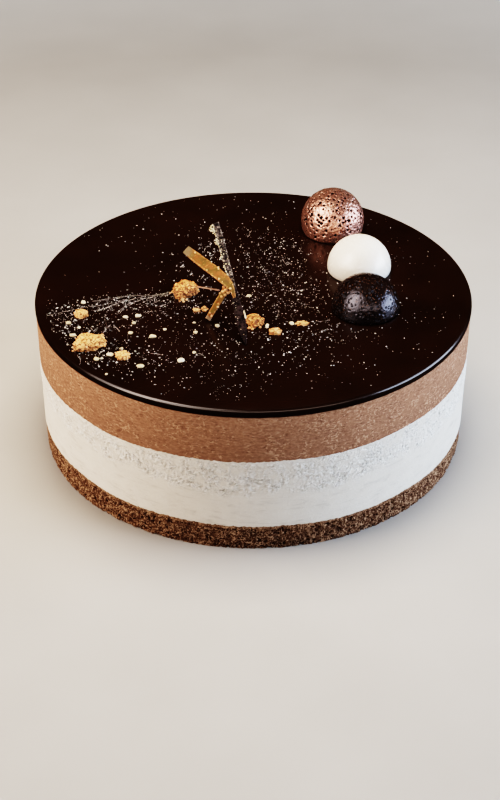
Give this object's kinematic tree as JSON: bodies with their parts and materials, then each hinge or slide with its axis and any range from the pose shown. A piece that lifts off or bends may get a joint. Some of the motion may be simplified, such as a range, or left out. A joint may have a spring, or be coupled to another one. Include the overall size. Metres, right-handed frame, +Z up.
{
  "type": "triple chocolate cake",
  "caption": "Round mousse cake of cocoa sponge, white and milk chocolate mousse and dark mirror glaze, with domes, gold nuggets and a standing chocolate blade with gold sticks on top.",
  "frame": {"origin": "centre of the cake's underside", "axes": "+Z up through the middle of the cake, +X to the right as seen from the front, +Y to the back"},
  "size_m": [0.2002, 0.2002, 0.1158],
  "materials": {
    "cocoa_sponge": "porous dark brown sponge crumb",
    "white_mousse": "satin ivory mousse, finely torn near its upper edge",
    "milk_mousse": "matt tan mousse with fine level streaks",
    "dark_glaze": "near-black mirror glaze with cream specks",
    "bronze_lustre": "metallic bronze dusting over finely pitted chocolate",
    "white_shell": "smooth satin white chocolate",
    "dark_shell": "glossy dark chocolate with fine bronze specks",
    "smoky_chocolate": "thin smoky dark chocolate with a pale frosted edge",
    "gold_lustre": "brushed gold dusting",
    "caramel_thread": "glossy caramel brown"
  },
  "bodies": {
    "root": {"cocoa_sponge": "cocoa_sponge", "white_mousse": "white_mousse", "milk_mousse": "milk_mousse", "glaze": "dark_glaze", "bronze_dome": "bronze_lustre", "white_dome": "white_shell", "dark_dome": "dark_shell", "dark_blade": "smoky_chocolate", "long_gold_stick": "gold_lustre", "short_gold_stick": "gold_lustre", "fine_thread": "caramel_thread"}
  },
  "joints": []
}
